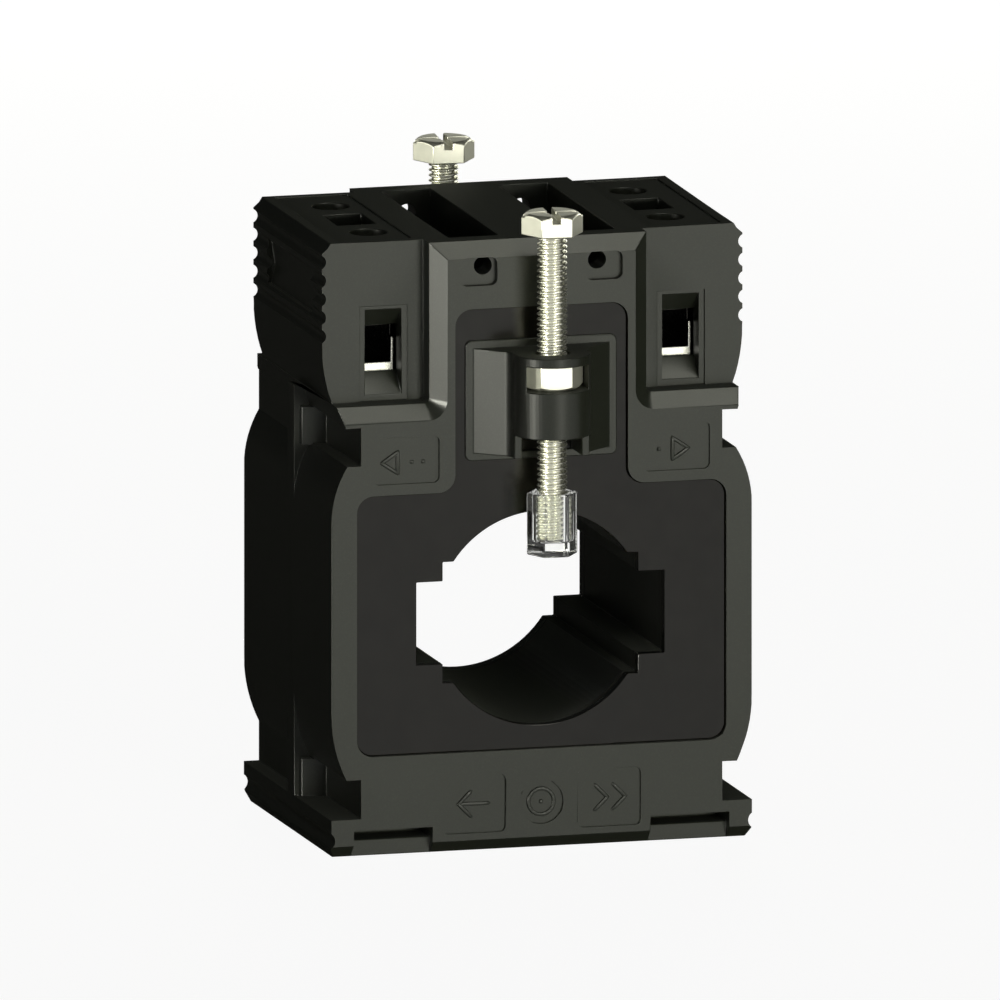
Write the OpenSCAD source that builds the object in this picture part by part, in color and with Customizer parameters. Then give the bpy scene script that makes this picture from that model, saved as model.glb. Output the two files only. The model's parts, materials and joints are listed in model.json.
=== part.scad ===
// Window-type current transformer in a moulded two-part case. A cable or a flat bar passes
// through the stepped window, and a long screw at each face clamps it.
// X runs to the right, Y to the rear and Z up. The origin is at the centre of the base.

/* [Case] */
// Width over the cheeks, the terminal blocks and the foot
case_w = 56; // [55:0.5:70]
// Height of the case, without the screws
case_h = 79.6; // [79:0.2:90]
// Depth from the front frame to the rear frame
case_d = 42.4; // [42:0.2:60]
// Thickness of the side walls
wall = 2; // [1.6:0.1:2.2]
// Thickness of the front and rear walls
face_wall = 3; // [2.8:0.1:3.4]
// Width of the chamfer round the tower and along the ledge
edge_chamfer = 2; // [1:0.1:2.2]
// Radius where the tower meets the ledge
ledge_fillet = 0.6; // [0.4:0.1:3]
// Height of the ledge that carries the terminal blocks
ledge_z = 58.7; // [58.5:0.1:61]

/* [Cheeks and foot] */
// Height of the foot
foot_h = 5.05; // [4.6:0.05:5.2]
// Bottom of the cheeks
cheek_low = 10.2; // [9.5:0.1:11]
// Top of the cheeks
cheek_top = 51.2; // [50:0.1:52]
// Underside of the flange below the ledge
flange_low = 56.2; // [56:0.1:56.5]
// Depth of the notches above and below the cheeks, front half
notch_front = 3.95; // [3.5:0.05:4.2]
// Depth of the same notches, rear half
notch_rear = 2; // [1:0.1:3]
// Radius of the cheeks' upper end
cheek_top_r = 14; // [12:0.5:16]
// Radius of the cheeks' lower end
cheek_low_r = 19; // [17:0.5:22]
// Width of the full-height rim of the front half, at the seam
band = 3.1; // [2:0.1:4]
// Radius of the groove along the foot's sides
foot_groove_r = 1.15; // [0.9:0.05:1.3]
// Depth of that groove
foot_groove_d = 0.5; // [0.3:0.05:0.7]
// Distance of the slots in the foot's front and rear from the case's sides
foot_slot_edge = 3; // [2.5:0.5:6]
// Height of that slot
foot_slot_h = 1.5; // [1:0.1:1.8]
// Depth of that slot
foot_slot_d = 6; // [3:0.5:8]
// How far the tongue below the slot stands back
tongue_back = 1.6; // [0.8:0.1:2]

/* [Window] */
// Height of the window's centre
window_z = 30.1; // [30:0.1:31]
// Diameter for a round cable
window_d = 28; // [26:0.5:28.5]
// Width for the thinner, wider bar
wide_bar_w = 33; // [31:0.5:33.5]
// Height for that bar
wide_bar_h = 10.8; // [9:0.2:11]
// Width for the thicker, narrower bar
thick_bar_w = 26; // [24:0.5:27]
// Height for that bar
thick_bar_h = 15.8; // [14:0.2:16]
// Thickness of the tube that lines the window
liner_t = 1.2; // [0.8:0.1:1.3]

/* [Sunk panels] */
// Depth of the panels below the frame
panel_sink = 0.6; // [0.3:0.1:1]
// Thickness of the panels
panel_t = 1.4; // [1:0.1:1.4]
// Width of the frame on each side of the lower part
panel_edge = 3.4; // [3:0.1:4]
// Bottom of the panels
panel_low = 13.1; // [12.5:0.1:14]
// Top of the lower part
panel_shoulder = 47.2; // [46:0.1:48]
// Width of the frame on each side of the stem that carries the clamp holder
stem_edge = 3; // [2.6:0.1:3.4]
// Height of the frame above the stem
stem_drop = 8.6; // [7.6:0.1:9.6]
// Corner radius of the panels
panel_r = 2.2; // [1:0.1:3]

/* [Top pockets] */
// Distance between the two pockets
pocket_gap = 8.8; // [8:0.1:10]
// Width of each pocket
pocket_w = 6.75; // [5:0.05:7]
// Length of the pockets
pocket_l = 33; // [28:0.5:34]
// Floor of the pockets
pocket_floor = 58; // [57.5:0.1:60]
// Radius of the accessory holes through the front and rear walls
eye_r = 1.2; // [1:0.1:1.5]
// Distance between the accessory holes
eye_spacing = 15.2; // [14.4:0.2:16]
// Height of the accessory holes below the top
eye_drop = 3.1; // [2.8:0.1:3.6]
// Depth of the shallow recess round each accessory hole
eye_sink = 0.9; // [0.4:0.1:1.2]

/* [Terminal blocks] */
// Width of the tower between the blocks
tower_w = 29; // [28.6:0.1:29.4]
// Length of the blocks from front to rear
block_d = 33.2; // [33:0.2:36]
// Number of finger grooves on each outer side
grooves = 5; // [2:1:5]
// Distance between the finger grooves
groove_pitch = 2.42; // [2.3:0.02:2.6]
// Radius of the finger grooves
groove_r = 0.95; // [0.8:0.05:1]
// Depth of the finger grooves
groove_depth = 0.55; // [0.3:0.05:0.7]
// Depth of the arrow on the outer side
arrow_sink = 0.9; // [0.4:0.1:1.1]
// Gap between the terminals and the wall beside the tower
terminal_room = 1.05; // [0.9:0.05:1.3]
// Width of the opening for the wire
entry_w = 4.9; // [4.2:0.1:5]
// Height of the opening for the wire
entry_h = 6.1; // [5:0.1:6.2]
// Bottom of the opening for the wire
entry_low = 62.1; // [61.8:0.1:62.3]
// Depth of the funnel round the opening
funnel = 2.8; // [1.4:0.1:2.8]
// Thickness of the blocks' front and rear walls
block_wall = 3; // [2.7:0.1:3.3]
// Radius of the screwdriver holes in the lids
driver_r = 2.45; // [2.3:0.05:2.6]
// Distance of the terminal screws from the ends of the terminal bodies
screw_back = 4.1; // [3.8:0.1:4.6]
// Length of the rectangular hole in the middle of the lids
link_l = 7.6; // [5:0.2:8]
// Width of the rectangular hole in the middle of the lids
link_w = 5.2; // [4:0.1:5.4]
// Thickness of the lids
lid_t = 1.6; // [1.2:0.1:1.8]
// How far the lids lie below the top
lid_sink = 0.2; // [0.1:0.05:0.4]

/* [Terminals] */
// Width over the two arms of the terminal body
cage_w = 4.5; // [4.2:0.1:4.6]
// Thickness of the arms
cage_t = 0.35; // [0.3:0.05:0.5]
// Thickness of the terminal body's floor
cage_floor = 1.2; // [1:0.1:1.3]
// Height of the arms above the case's floor
cage_h = 9; // [8.8:0.1:9.4]
// Thickness of the threaded bridges
bridge_t = 2.2; // [1.6:0.1:2.3]
// Radius of the terminal screws' shanks
small_screw_r = 1.45; // [1.2:0.05:1.5]
// Radius of the terminal screws' heads
small_head_r = 2.2; // [2:0.05:2.25]
// Thickness of the terminal screws' heads
small_head_t = 1.6; // [1.2:0.1:1.8]
// How far the clamping plates stand open above the floor
wire_gap = 4.5; // [2:0.1:4.6]
// Thickness of the clamping plates
plate_t = 0.9; // [0.7:0.1:1]

/* [Clamps] */
// Width over the clamp holder's side walls
boss_w = 10; // [9.6:0.1:10.4]
// Bottom of the clamp holder's frame
holder_low = 51.1; // [50.6:0.1:51.6]
// Top of the clamp holder's frame
holder_top = 66.8; // [66.4:0.1:67.2]
// Width of the panel on each side of the clamp holder's frame
holder_edge = 1.45; // [1:0.05:1.7]
// Width of the rim round the holder
holder_rim = 1; // [0.6:0.1:1.2]
// How far that rim stands out of the panel
rim_t = 0.4; // [0.2:0.1:0.6]
// Height of the nose above the holder's bottom
nose_rise = 3.1; // [2.6:0.1:3.4]
// Distance of the clamp screws from the frame
screw_out = 5; // [4.8:0.1:5.4]
// Radius of the clamp screws' shanks
screw_r = 1.95; // [1.9:0.01:1.97]
// Radius of the threaded hole in the nuts
nut_bore_r = 2; // [1.98:0.01:2.05]
// Size across the flats of the nuts and screw heads
hex_af = 7; // [6.6:0.1:7]
// Thickness of the nuts
nut_t = 3.2; // [2.8:0.1:3.2]
// Bottom of the nuts
nut_z = 61.3; // [61.1:0.1:61.5]
// Thickness of the screw heads
head_t = 2.8; // [2.4:0.1:3.2]
// Length of the clamp screws under the head
screw_l = 40.2; // [38:0.2:42]
// Underside of the screw heads
head_z = 81.4; // [81:0.2:84]
// Angle that the hexagons stand at
hex_turn = -4.6; // [-6:0.2:6]
// Size across the flats of the tip caps
cap_af = 5.8; // [5.4:0.1:6]
// Length of the tip caps
cap_l = 8.1; // [7:0.1:9]
// Thickness of the tip caps' ends
cap_end = 1.7; // [1:0.1:2]

/* [Winding] */
// Clearance between the winding and the corners of the window's tube
winding_in_gap = 0.16; // [0.1:0.02:0.5]
// Clearance between the winding and the cheeks' inner walls
winding_side_gap = 0.3; // [0.2:0.05:1]
// Clearance between the winding and the case's floor
winding_low_gap = 0.1; // [0.1:0.05:0.6]
// Width of the strip that the core is wound from
core_l = 24; // [16:0.5:26]
// Thickness of the core caps
core_cap_t = 0.4; // [0.3:0.05:0.45]
// Thickness of the secondary winding
winding_t = 0.65; // [0.4:0.05:0.65]
// Thickness of the tape round the winding
tape_t = 0.15; // [0.1:0.01:0.15]
// Diameter of the leads to the terminals
lead_d = 1.2; // [0.8:0.1:1.6]

/* [Hidden] */

case_colour = [0.18, 0.185, 0.165];
panel_colour = [0.12, 0.11, 0.10];
nickel_colour = [0.80, 0.79, 0.74];
clear_colour = [0.85, 0.87, 0.84];
copper_colour = [0.72, 0.42, 0.24];
tape_colour = [0.75, 0.68, 0.35];
core_colour = [0.42, 0.43, 0.45];

$fn = 64;
// Overlap of a cutter past the face that it opens
over = 0.5;
// Least overlap of two outlines that are drawn as one
hair = 0.01;
// Clearance between pieces that lie on each other inside the case
lay = 0.05;
// Clearance of a piece in the seat that holds it
seat = 0.05;
// How far a feature of the case runs into what it stands on
root = 0.2;

half_w = case_w / 2;
half_d = case_d / 2;
half_tower = tower_w / 2;
half_block = block_d / 2;
ledge_y = half_d - edge_chamfer;
panel_w = case_w - 2 * panel_edge;
stem_w = tower_w - 2 * stem_edge;
stem_top = case_h - stem_drop;
panel_y = half_d - panel_sink;
web_y = panel_y - panel_t;
inner_y = half_d - face_wall;
cheek_top_knee = cheek_top - 7.4;
cheek_low_knee = cheek_low + 8.5;
flange_end = 1.2;
flange_slant = 0.7;
foot_corner = [0.5, 1.2];
foot_groove_z = 2.35;
foot_slot_z = 2.1;
foot_chamfer = 1.6;

// Lower cavity, around the core
core_z = window_z;
cavity_low = foot_h;
window_reach = max(
    window_d / 2 + liner_t,
    norm([wide_bar_w / 2 + liner_t, wide_bar_h / 2 + liner_t]),
    norm([thick_bar_w / 2 + liner_t, thick_bar_h / 2 + liner_t])
);
tape_in = window_reach + winding_in_gap;
tape_out = min(half_w - wall - winding_side_gap, core_z - cavity_low - winding_low_gap);
cover_t = core_cap_t + winding_t + tape_t + 3 * lay;
core_in = tape_in + cover_t;
core_out = tape_out - cover_t;
cavity_top = core_z + tape_out + winding_low_gap;
winding_split = 24;
tape_split = 12;
lead_gap = 0.6;
lead_room = 0.4;

// Terminal block
block_floor = ledge_z + wall;
lid_low = case_h - lid_sink - lid_t;
lid_in = half_tower + 1.2;
lid_out = half_w - 2.5;
lid_ledge = [0.8, 0.4];
lid_half = half_block - 1;
block_in = lid_in + lid_ledge[0];
block_out = lid_out - lid_ledge[1];
terminal_x = block_in + terminal_room + cage_w / 2;
cage_lift = 1.2;
cage_base = block_floor + cage_lift;
cage_gap = 0.4;
cage_half = half_block - block_wall - cage_gap;
cage_foot_l = 6;
screw_y = cage_half - screw_back;
first_groove = case_h - 2.4;
grip_low = first_groove - groove_pitch * (grooves - 0.5);
skirt_in = 1.3;
skirt_r = ((grip_low - ledge_z) * (grip_low - ledge_z) + skirt_in * skirt_in) / (2 * skirt_in);
block_crown = [1.15, 1.3];
crown_bulge = 0.65;
channel_w = entry_w + 1.5;
channel_t = 0.25;
channel_top = entry_low + entry_h + 3;

// Arrow on the outer side of each block
arrow_z = case_h - 7.3;
arrow_half = 2.9;
arrow_tip = 12.4;
arrow_shoulder = 9.6;
arrow_tail = 11.2;
arrow_tail_in = 9.2;

// Terminal hardware
floor_top = cage_base + cage_floor;
plate_z = floor_top + wire_gap;
bridge_top = cage_base + cage_h;
bridge_low = bridge_top - bridge_t;
bridge_l = 6;
arm_low_top = cage_base + 4.5;
arm_cut = 1;
tip_z = plate_z + plate_t;
head_gap = 0.3;
small_head_z = bridge_top + wire_gap + head_gap;
plate_gap = 0.15;
plate_w = cage_w - 2 * cage_t - 2 * plate_gap;
plate_l = 5;
small_bore_r = small_screw_r + seat;
driver_slot = [0.7, 0.8];

// Pockets and accessory holes
pocket_in = pocket_gap / 2;
pocket_out = pocket_in + pocket_w;
pocket_half = pocket_l / 2;
eye_x = eye_spacing / 2;
eye_z = case_h - eye_drop;
rib_core_w = pocket_gap - 2 * wall;
eye_seat = [4.9, 3.7];
eye_seat_off = [0.75, -0.65];
eye_seat_r = 0.9;

// Shallow marks on the front face
mark_sink = 0.35;
mark_r = 0.8;
upper_mark = [8.8, 6.1];
upper_mark_at = [18, 51.65];
lower_mark = [8.4, 7.6];
lower_mark_at = [9, 6.3];
disc_r = 2.9;
disc_z = 6.15;

// Latch blocks in the front notches
latch_w = 3.2;
latch_t = 1.3;
latch_edge = 0.8;
latch_slope = 0.35;
latch_gap = 0.2;

// Clamp
screw_axis = half_d + screw_out;
boss_r = boss_w / 2;
boss_wall = 1;
holder_w = stem_w - 2 * holder_edge;
holder_r = 0.8;
inner_low = holder_low + holder_rim;
inner_top = holder_top - holder_rim;
nose_low = inner_low + nose_rise;
flare_in = holder_w / 2 - holder_rim;
rim_y = panel_y + rim_t;
flare_slope = 0.85;
flare_fillet = 2;
flare_y = rim_y + (flare_in - boss_r) * flare_slope;
hex_r = hex_af / sqrt(3);
nut_room = 0.1;
slot_half = hex_r + nut_room;
nut_slot_top = nut_z + nut_t + nut_room;
hole_room = 0.3;
hole_r = screw_r + hole_room;
tip_at = head_z - screw_l;
cap_low = tip_at - cap_end;
cap_bore_r = screw_r + seat;
head_slot = [1.1, 1];
cross_slot = 0.5;
hex_chamfer = 0.5;
cone_slope = 1.7;

// Carries an outline in X and Z from one Y to another
module along_y(from, to) {
    translate([0, to, 0]) rotate([90, 0, 0]) linear_extrude(to - from) children();
}

// Carries an outline in Y and Z from one X to another
module along_x(from, to) {
    translate([from, 0, 0]) rotate([90, 0, 90]) linear_extrude(to - from) children();
}

// A cylinder along Y from one Y to another
module rod_y(r, from, to) {
    translate([0, to, 0]) rotate([90, 0, 0]) cylinder(r = r, h = to - from);
}

// A box given by its low and high corners
module span(low, high) {
    translate(low) cube(high - low);
}

// The children and their mirror image on the other side
module both_sides() {
    children();
    mirror([1, 0, 0]) children();
}

// A rectangle with round corners, centred on the origin
module rounded(size, r) {
    x = size[0] / 2 - r;
    y = size[1] / 2 - r;
    square([size[0] - 2 * r, size[1]], center = true);
    square([size[0], size[1] - 2 * r], center = true);
    for (sx = [-1, 1], sy = [-1, 1]) translate([sx * x, sy * y]) circle(r);
}

// Outline of the window, larger by grow all round
module window_outline(grow = 0) {
    translate([0, window_z]) {
        circle(window_d / 2 + grow, $fn = 128);
        square([wide_bar_w + 2 * grow, wide_bar_h + 2 * grow], center = true);
        square([thick_bar_w + 2 * grow, thick_bar_h + 2 * grow], center = true);
    }
}

// Outline of the sunk panels, larger by grow all round
module panel_outline(grow = 0) {
    r = panel_r + grow;
    neck = stem_w / 2 + grow;
    shoulder = panel_shoulder + grow;
    h = panel_shoulder - panel_low + 2 * grow;
    translate([0, panel_low - grow + h / 2]) rounded([panel_w + 2 * grow, h], r);
    stem = [stem_w + 2 * grow, stem_top + grow - panel_low];
    translate([0, panel_low + stem[1] / 2]) rounded(stem, r);
    for (s = [0, 1]) mirror([s, 0]) difference() {
        translate([neck - hair, shoulder - hair]) square(panel_r);
        translate([neck + panel_r, shoulder + panel_r]) circle(panel_r);
    }
}

// Right half of the cheeks' outline, set in from the surface by inset
module cheek_outline(inset = 0) {
    translate([0, cheek_low_knee])
        square([half_w - inset, cheek_top_knee - cheek_low_knee]);
    intersection() {
        translate([0, cheek_top_knee]) square([half_w, cheek_top - inset - cheek_top_knee]);
        cheek_end(half_w - cheek_top_r, cheek_top_knee, cheek_top_r - inset);
    }
    intersection() {
        translate([0, cheek_low + inset]) square([half_w, cheek_low_knee - cheek_low - inset]);
        cheek_end(half_w - cheek_low_r, cheek_low_knee, cheek_low_r - inset);
    }
}

// A round cheek end about (x, z), filled in towards the middle
module cheek_end(x, z, r) {
    translate([x, z]) circle(r, $fn = 128);
    translate([0, z - r]) square([max(x, hair), 2 * r]);
}

// Right half of the flange's outline, which slants in to its underside
module flange_outline() {
    polygon([
        [0, flange_low],
        [half_w - flange_end - flange_slant, flange_low],
        [half_w - flange_end, ledge_z],
        [0, ledge_z]
    ]);
}

// Right half of the foot's outline, with its side groove
module foot_outline() {
    difference() {
        polygon([
            [0, 0],
            [half_w - foot_corner[0], 0],
            [half_w, foot_corner[1]],
            [half_w, foot_h],
            [0, foot_h]
        ]);
        translate([half_w + foot_groove_r - foot_groove_d, foot_groove_z]) circle(foot_groove_r);
    }
}

// Outline of the right terminal block, with its finger grooves
module block_outline() {
    skirt = half_w - skirt_r;
    difference() {
        union() {
            intersection() {
                translate([half_tower, ledge_z])
                    square([half_w - half_tower, grip_low - ledge_z]);
                translate([skirt, grip_low]) circle(skirt_r, $fn = 256);
            }
            polygon([
                [half_tower, grip_low],
                [half_w, grip_low],
                [half_w, case_h - block_crown[1]],
                [half_w - block_crown[0] * crown_bulge, case_h - block_crown[1] / 2],
                [half_w - block_crown[0], case_h],
                [half_tower, case_h]
            ]);
        }
        for (i = [0 : grooves - 1])
            translate([half_w + groove_r - groove_depth, first_groove - i * groove_pitch])
                circle(groove_r, $fn = 48);
    }
}

// Outline of the arrow in Y and Z
module arrow_outline() {
    polygon([
        [-arrow_tip, arrow_z],
        [-arrow_shoulder, arrow_z - arrow_half],
        [arrow_tail, arrow_z - arrow_half],
        [arrow_tail_in, arrow_z],
        [arrow_tail, arrow_z + arrow_half],
        [-arrow_shoulder, arrow_z + arrow_half]
    ]);
}

// Tower between the blocks, front half, with its chamfered edges
module tower() {
    flat = half_tower - edge_chamfer;
    intersection() {
        translate([0, 0, ledge_z - edge_chamfer]) linear_extrude(case_h - ledge_z + edge_chamfer)
            polygon([
                [-half_tower, 0], [-half_tower, -ledge_y], [-flat, -half_d],
                [flat, -half_d], [half_tower, -ledge_y], [half_tower, 0]
            ]);
        along_x(-half_tower, half_tower)
            polygon([
                [0, ledge_z - edge_chamfer], [-half_d, ledge_z - edge_chamfer],
                [-half_d, case_h - edge_chamfer], [-ledge_y, case_h], [0, case_h]
            ]);
    }
}

// Ledge under the blocks, front half, chamfered along its upper edge
module flange() {
    intersection() {
        along_y(-half_d, 0) {
            flange_outline();
            mirror([1, 0]) flange_outline();
        }
        along_x(-half_w, half_w)
            polygon([
                [0, flange_low], [-half_d, flange_low],
                [-half_d, ledge_z - edge_chamfer], [-ledge_y, ledge_z], [0, ledge_z]
            ]);
    }
}

// Hollow corner between the tower and the ledge
module corner_sweep() {
    x = half_tower + ledge_fillet;
    z = ledge_z + ledge_fillet;
    difference() {
        span([half_tower - edge_chamfer, -half_d, ledge_z - edge_chamfer],
            [x, -half_block + over, z]);
        translate([x, -half_d, z]) rotate([-90, 0, 0])
            cylinder(r1 = ledge_fillet + edge_chamfer, r2 = ledge_fillet, h = edge_chamfer);
        translate([x, 0, z]) rod_y(ledge_fillet, -ledge_y - hair, -half_block + over);
    }
}

// Solid outside of the front half of the case
module half_outside(notch) {
    along_y(-half_d, 0) for (s = [0, 1]) mirror([s, 0]) {
        square([half_w - notch, ledge_z - edge_chamfer]);
        cheek_outline();
        foot_outline();
    }
    flange();
    tower();
    both_sides() {
        corner_sweep();
        along_y(-half_block, 0) block_outline();
    }
}

// Space inside the front half of the case
module half_inside() {
    side = half_w - notch_front - wall;
    along_y(-inner_y, over) for (s = [0, 1]) mirror([s, 0]) {
        translate([0, cavity_low]) square([side, cavity_top - cavity_low]);
        intersection() {
            cheek_outline(wall);
            translate([0, cheek_low_knee - 4])
                square([half_w, cheek_top - wall - cheek_low_knee + 4]);
        }
    }
    span([-rib_core_w / 2, -inner_y, cavity_top - 1],
        [rib_core_w / 2, over, case_h - 2 * wall]);
}

// Pockets and the seats of the accessory holes in the top of the tower
module pocket_cuts() {
    both_sides() {
        span([pocket_in, -pocket_half, pocket_floor], [pocket_out, over, case_h + over]);
        translate([eye_x, 0, eye_z]) rod_y(eye_r, -half_d - over, -pocket_half + over);
        along_y(-half_d - over, -half_d + eye_sink)
            translate([eye_x + eye_seat_off[0], eye_z + eye_seat_off[1]]) rounded(eye_seat, eye_seat_r);
    }
}

// Room for the terminals in the right block, its lid seat and its wire entry. The arrow points
// to the front on both halves, so flip turns it round where the half is mirrored
module block_cuts(flip) {
    span([block_in, -half_block + block_wall, block_floor], [block_out, over, lid_low + over]);
    span([lid_in, -lid_half, lid_low], [lid_out, over, case_h + over]);
    entry_cut();
    translate([terminal_x, 0, core_z])
        cylinder(r = lead_d / 2 + lead_room, h = block_floor - core_z + over);
    along_x(half_w - arrow_sink, half_w + over) mirror([flip, 0]) arrow_outline();
}

// Wire entry of one block: a shallow channel, a funnel and the opening
module entry_cut() {
    y = -half_block;
    x = terminal_x;
    span([x - channel_w / 2, y - over, ledge_z], [x + channel_w / 2, y + channel_t, channel_top]);
    span([x - entry_w / 2, y - over, entry_low],
        [x + entry_w / 2, y + block_wall + over, entry_low + entry_h]);
    along_x(x - entry_w / 2, x + entry_w / 2)
        polygon([
            [y - over, entry_low - funnel - over],
            [y + funnel, entry_low],
            [y + funnel, entry_low + entry_h],
            [y - over, entry_low + entry_h + funnel + over]
        ]);
}

// Slots in the foot and the tongues that stand back below them
module foot_cuts() {
    front = -half_d - over;
    end = half_w - foot_slot_edge;
    chamfer = foot_chamfer + over;
    both_sides() {
        span([half_tower, front, foot_slot_z], [end, -half_d + foot_slot_d, foot_slot_z + foot_slot_h]);
        span([half_tower, front, -over], [end, -half_d + tongue_back, foot_slot_z + hair]);
    }
    along_x(-half_w - over, half_w + over)
        polygon([[front, -over], [-half_d + chamfer, -over], [front, chamfer]]);
}

// Shallow plates and a disc sunk in the front face
module mark_cuts() {
    along_y(-half_d - over, -half_d + mark_sink) {
        for (s = [-1, 1]) {
            translate([s * upper_mark_at[0], upper_mark_at[1]]) rounded(upper_mark, mark_r);
            translate([s * lower_mark_at[0], lower_mark_at[1]]) rounded(lower_mark, mark_r);
        }
        translate([0, disc_z]) circle(disc_r);
    }
}

// The front half of the case. The rear half is its mirror image with other notches
module half_case(notch, flip) {
    difference() {
        half_outside(notch);
        half_inside();
        along_y(-half_d - over, -web_y) panel_outline();
        along_y(-half_d, -inner_y + over) window_outline();
        pocket_cuts();
        both_sides() block_cuts(flip);
        foot_cuts();
        mark_cuts();
    }
}

// Latch block that stands against the rim in a notch, from low to high
module latch(low, high) {
    x = half_w - notch_front;
    front = -band - latch_t;
    translate([0, 0, low]) linear_extrude(high - low) polygon([
        [x - root, front],
        [x + latch_edge, front],
        [x + latch_w, front + latch_slope],
        [x + latch_w, -band + root],
        [x - root, -band + root]
    ]);
}

// Full-height rim of the front half, beside the seam, outside the cavity
module rim() {
    x = half_w - notch_front - root;
    span([x, -band, foot_h - root], [half_w, 0, cheek_low_knee]);
    span([x, -band, cheek_top_knee], [half_w, 0, ledge_z]);
}

module front_shell() {
    color(case_colour) {
        half_case(notch_front, 0);
        both_sides() {
            rim();
            latch(foot_h - root, cheek_low - latch_gap);
            latch(cheek_top - root, flange_low - latch_gap);
        }
    }
}

module rear_shell() {
    color(case_colour) mirror([0, 1, 0]) half_case(notch_rear, 1);
}

module panel() {
    color(panel_colour) along_y(-panel_y, -web_y) difference() {
        panel_outline(-seat);
        window_outline();
    }
}

module window_liner() {
    color(case_colour) along_y(-inner_y, inner_y) difference() {
        window_outline(liner_t);
        window_outline();
    }
}

// A ring about the window's axis, given by its section
module ring(inner, outer, half_l, angle = 360, start = 0) {
    translate([0, 0, core_z]) rotate([90, 0, 0]) rotate([0, 0, start])
        rotate_extrude(angle = angle, $fn = 128)
            translate([inner, -half_l]) square([outer - inner, 2 * half_l]);
}

// A thin sheath of thickness t round a ring, open over a gap at the bottom
module sheath(inner, outer, half_l, t, gap) {
    translate([0, 0, core_z]) rotate([90, 0, 0]) rotate([0, 0, gap / 2 - 90])
        rotate_extrude(angle = 360 - gap, $fn = 128) difference() {
            translate([inner - t, -half_l - t])
                square([outer - inner + 2 * t, 2 * (half_l + t)]);
            translate([inner, -half_l]) square([outer - inner, 2 * half_l]);
        }
}

module ring_core() {
    color(core_colour) ring(core_in, core_out, core_l / 2);
}

// A shallow cup over one face of the core
module core_cap() {
    reach = core_l / 2 + lay;
    inner = core_in - lay;
    outer = core_out + lay;
    color(tape_colour) translate([0, 0, core_z]) rotate([90, 0, 0])
        rotate_extrude($fn = 128) difference() {
            translate([inner - core_cap_t, lay])
                square([outer - inner + 2 * core_cap_t, reach + core_cap_t - lay]);
            translate([inner, lay - over]) square([outer - inner, reach - lay + over]);
        }
}

module secondary_winding() {
    extra = core_cap_t + 2 * lay;
    color(copper_colour)
        sheath(core_in - extra, core_out + extra, core_l / 2 + extra, winding_t, winding_split);
}

module winding_tape() {
    extra = core_cap_t + winding_t + 3 * lay;
    color(tape_colour)
        sheath(core_in - extra, core_out + extra, core_l / 2 + extra, tape_t, tape_split);
}

module lead() {
    rise = sqrt(tape_out * tape_out - terminal_x * terminal_x);
    low = core_z + rise + lead_gap;
    color(copper_colour) translate([terminal_x, 0, low])
        cylinder(r = lead_d / 2, h = block_floor - low);
}

module terminal_body() {
    color(nickel_colour) translate([terminal_x, 0, 0]) difference() {
        union() {
            span([-cage_w / 2, -cage_half, cage_base], [cage_w / 2, cage_half, floor_top]);
            for (s = [-1, 1]) {
                x = s * (cage_w - cage_t) / 2;
                span([x - cage_t / 2, -cage_half, cage_base], [x + cage_t / 2, cage_half, arm_low_top]);
                span([x - cage_t / 2, -cage_half + arm_cut, cage_base],
                    [x + cage_t / 2, cage_half - arm_cut, bridge_top]);
                span([-cage_w / 2, s * screw_y - bridge_l / 2, bridge_low],
                    [cage_w / 2, s * screw_y + bridge_l / 2, bridge_top]);
            }
            span([-cage_w / 2, -cage_foot_l / 2, block_floor],
                [cage_w / 2, cage_foot_l / 2, cage_base + root]);
        }
        for (s = [-1, 1]) translate([0, s * screw_y, bridge_low - over])
            cylinder(r = small_bore_r, h = bridge_t + 2 * over);
    }
}

module terminal_lid() {
    x0 = lid_in + seat;
    x1 = lid_out - seat;
    y = lid_half - seat;
    color(case_colour) difference() {
        span([x0, -y, lid_low], [x1, y, case_h - lid_sink]);
        for (s = [-1, 1]) translate([terminal_x, s * screw_y, lid_low - over])
            cylinder(r = driver_r, h = lid_t + 2 * over);
        span([terminal_x - link_w / 2, -link_l / 2, lid_low - over],
            [terminal_x + link_w / 2, link_l / 2, case_h + over]);
    }
}

module terminal_screw() {
    color(nickel_colour) translate([terminal_x, -screw_y, 0]) difference() {
        union() {
            translate([0, 0, tip_z]) cylinder(r = small_screw_r, h = small_head_z - tip_z + root);
            translate([0, 0, small_head_z]) cylinder(r = small_head_r, h = small_head_t);
        }
        translate([0, 0, small_head_z + small_head_t])
            cube([driver_slot[0], 3 * small_head_r, 2 * driver_slot[1]], center = true);
    }
}

module clamping_plate() {
    color(nickel_colour) translate([terminal_x, -screw_y, plate_z + plate_t / 2])
        cube([plate_w, plate_l, plate_t], center = true);
}

// Top view of the holder's side walls and of the flares that join them to its frame
module wall_outline() {
    difference() {
        offset(r = -flare_fillet) offset(delta = flare_fillet) {
            polygon([
                [-flare_in, -panel_y], [-flare_in, -rim_y], [-boss_r, -flare_y],
                [boss_r, -flare_y], [flare_in, -rim_y], [flare_in, -panel_y]
            ]);
            translate([-boss_r, -screw_axis]) square([boss_w, screw_axis - panel_y]);
        }
        translate([-boss_r + boss_wall, -screw_axis - over])
            square([boss_w - 2 * boss_wall, screw_axis]);
    }
}

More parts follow.
